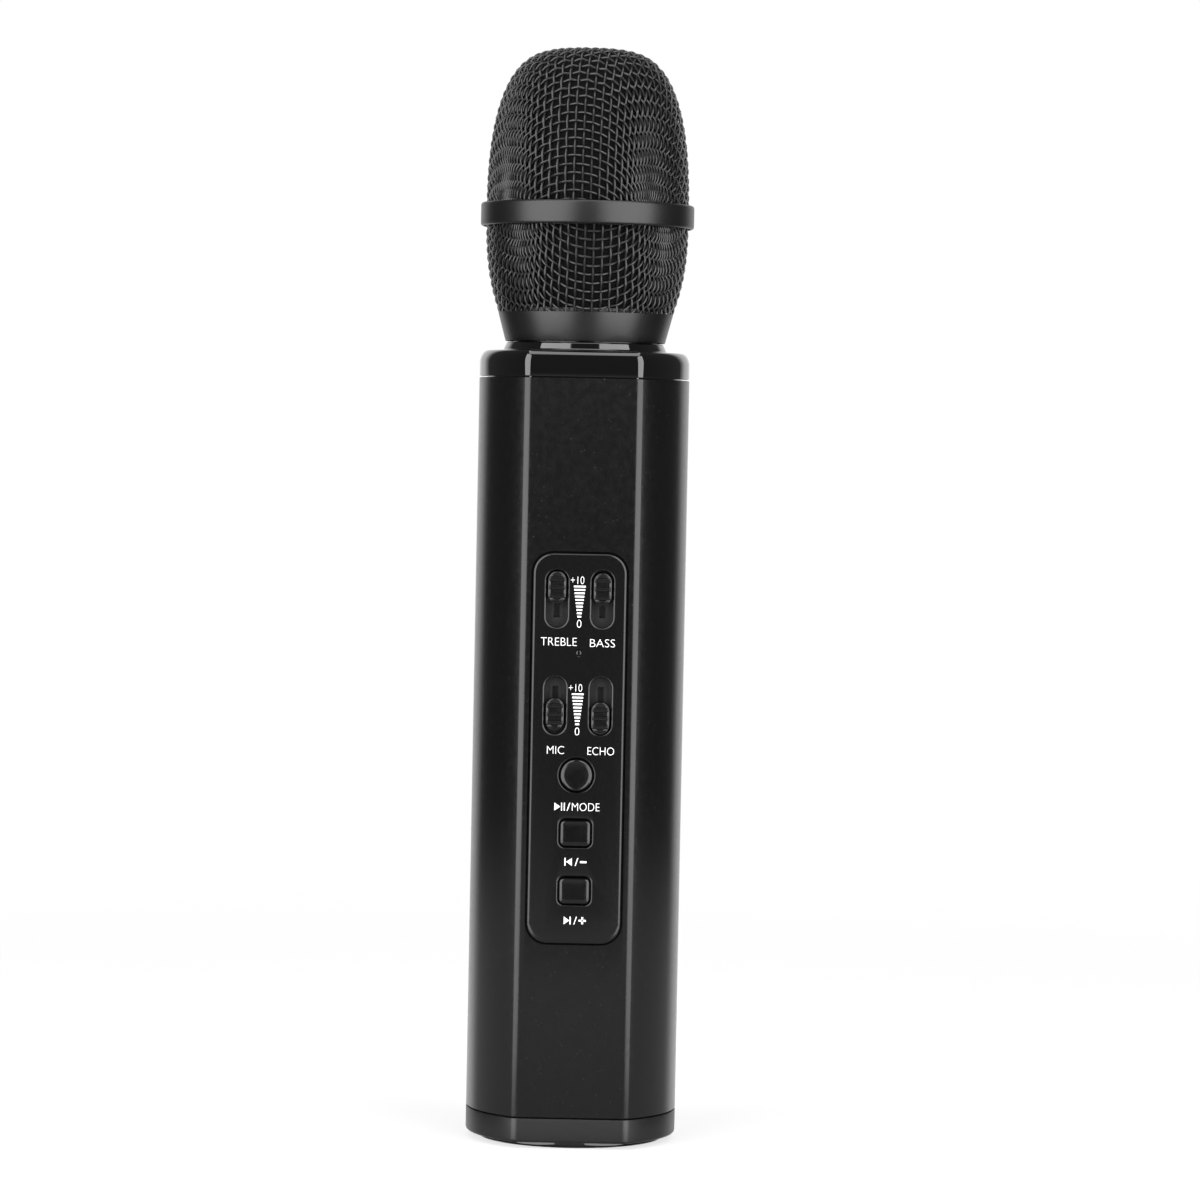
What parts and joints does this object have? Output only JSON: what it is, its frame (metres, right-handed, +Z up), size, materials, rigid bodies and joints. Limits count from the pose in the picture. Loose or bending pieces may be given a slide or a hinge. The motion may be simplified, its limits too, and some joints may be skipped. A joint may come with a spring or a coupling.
{
  "type": "karaoke microphone",
  "caption": "Wireless karaoke microphone with a woven wire grille head, a flat-sided tube body, slide controls, push buttons, a rear speaker grille and a round base.",
  "frame": {"origin": "middle of the base disc's bottom face", "axes": "+Z up along the microphone to the top of its grille head, -Y out of the control panel, +X to the right of someone who looks at the panel"},
  "size_m": [0.0548, 0.0548, 0.28],
  "materials": {
    "wire_mesh": "satin",
    "foam": "matt open-cell foam",
    "ring_metal": "satin",
    "collar_metal": "satin",
    "neck_metal": "turned",
    "capsule_metal": "satin",
    "seat_plastic": "matt",
    "sleeve_rubber": "matt",
    "cap_gloss": "piano black",
    "tube_paint": "satin black paint with a fine sparkle",
    "cap_satin": "satin",
    "disc_gloss": "piano black",
    "panel_plastic": "satin",
    "knob_plastic": "satin",
    "button_plastic": "gloss",
    "switch_metal": "tinned",
    "lever_metal": "satin",
    "circuit_board": "solder mask",
    "light_pipe": "frosted",
    "led_body": "matt",
    "grille_paint": "satin black paint",
    "frame_plastic": "matt",
    "basket_steel": "plated",
    "cone_paper": "coated paper",
    "magnet_ferrite": "ground ferrite",
    "cell_sleeve": "shrink sleeve",
    "socket_metal": "tinned",
    "screw_steel": "blackened"
  },
  "bodies": {
    "microphone_body": {"threaded_neck": "neck_metal", "capsule_seat": "seat_plastic", "capsule_sleeve": "sleeve_rubber", "microphone_capsule": "capsule_metal", "top_cap": "cap_gloss", "body_tube": "tube_paint", "bottom_cap": "cap_satin", "base_disc": "disc_gloss", "charge_socket": "socket_metal", "audio_socket": "socket_metal", "card_reader": "socket_metal", "power_switch_case": "switch_metal", "socket_board": "circuit_board", "base_screw_1": "screw_steel", "base_screw_2": "screw_steel", "base_screw_3": "screw_steel", "control_panel": "panel_plastic", "status_light_pipe": "light_pipe", "status_led": "led_body", "control_board": "circuit_board", "speaker_grille": "grille_paint", "speaker_baffle": "frame_plastic", "chassis": "frame_plastic", "battery_cell": "cell_sleeve", "main_board": "circuit_board", "radio_module": "switch_metal", "treble_potentiometer": "switch_metal", "bass_potentiometer": "switch_metal", "mic_level_potentiometer": "switch_metal", "echo_potentiometer": "switch_metal", "play_switch": "switch_metal", "previous_switch": "switch_metal", "next_switch": "switch_metal", "upper_speaker_basket": "basket_steel", "upper_speaker_magnet": "magnet_ferrite", "lower_speaker_basket": "basket_steel", "lower_speaker_magnet": "magnet_ferrite"},
    "foam": {"foam_liner": "foam"},
    "grille_head": {"upper_grille_mesh": "wire_mesh", "lower_grille_mesh": "wire_mesh", "grille_ring": "ring_metal", "grille_collar": "collar_metal"},
    "treble_slider": {"treble_knob": "knob_plastic", "treble_lever": "lever_metal"},
    "bass_slider": {"bass_knob": "knob_plastic", "bass_lever": "lever_metal"},
    "mic_level_slider": {"mic_level_knob": "knob_plastic", "mic_level_lever": "lever_metal"},
    "echo_slider": {"echo_knob": "knob_plastic", "echo_lever": "lever_metal"},
    "play_key": {"play_button": "button_plastic", "play_plunger": "sleeve_rubber"},
    "previous_key": {"previous_button": "button_plastic", "previous_plunger": "sleeve_rubber"},
    "next_key": {"next_button": "button_plastic", "next_plunger": "sleeve_rubber"},
    "power_slider": {"power_switch_slider": "knob_plastic"},
    "upper_cone": {"upper_speaker_cone": "cone_paper"},
    "lower_cone": {"lower_speaker_cone": "cone_paper"}
  },
  "joints": [
    {"name": "head_rise", "type": "slide", "parent": "microphone_body", "child": "foam", "axis": [0, 0, 1], "range_m": [0, 0.0045]},
    {"name": "head_turn", "type": "hinge", "parent": "foam", "child": "grille_head", "pos_m": [0, 0, 0.2045], "axis": [0, 0, 1], "range_deg": [0, 1080]},
    {"name": "treble_slide", "type": "slide", "parent": "microphone_body", "child": "treble_slider", "axis": [0, 0, 1], "range_m": [-0.0059, 0.0001]},
    {"name": "bass_slide", "type": "slide", "parent": "microphone_body", "child": "bass_slider", "axis": [0, 0, 1], "range_m": [-0.0056, 0.0004]},
    {"name": "mic_level_slide", "type": "slide", "parent": "microphone_body", "child": "mic_level_slider", "axis": [0, 0, 1], "range_m": [-0.00085, 0.00515]},
    {"name": "echo_slide", "type": "slide", "parent": "microphone_body", "child": "echo_slider", "axis": [0, 0, 1], "range_m": [0, 0.006]},
    {"name": "play_press", "type": "slide", "parent": "microphone_body", "child": "play_key", "axis": [0, 1, 0], "range_m": [0, 0.0004], "stiffness_N_per_m": 2000},
    {"name": "previous_press", "type": "slide", "parent": "microphone_body", "child": "previous_key", "axis": [0, 1, 0], "range_m": [0, 0.0004], "stiffness_N_per_m": 2000},
    {"name": "next_press", "type": "slide", "parent": "microphone_body", "child": "next_key", "axis": [0, 1, 0], "range_m": [0, 0.0004], "stiffness_N_per_m": 2000},
    {"name": "power_switch_slide", "type": "slide", "parent": "microphone_body", "child": "power_slider", "axis": [1, 0, 0], "range_m": [0, 0.003]},
    {"name": "upper_cone_stroke", "type": "slide", "parent": "microphone_body", "child": "upper_cone", "axis": [0, 1, 0], "range_m": [-0.0006, 0.0006], "stiffness_N_per_m": 1500},
    {"name": "lower_cone_stroke", "type": "slide", "parent": "microphone_body", "child": "lower_cone", "axis": [0, 1, 0], "range_m": [-0.0006, 0.0006], "stiffness_N_per_m": 1500}
  ],
  "couplings": [
    {"joint": "head_turn", "follows": "head_rise", "rad_per_m": 4188.8}
  ]
}
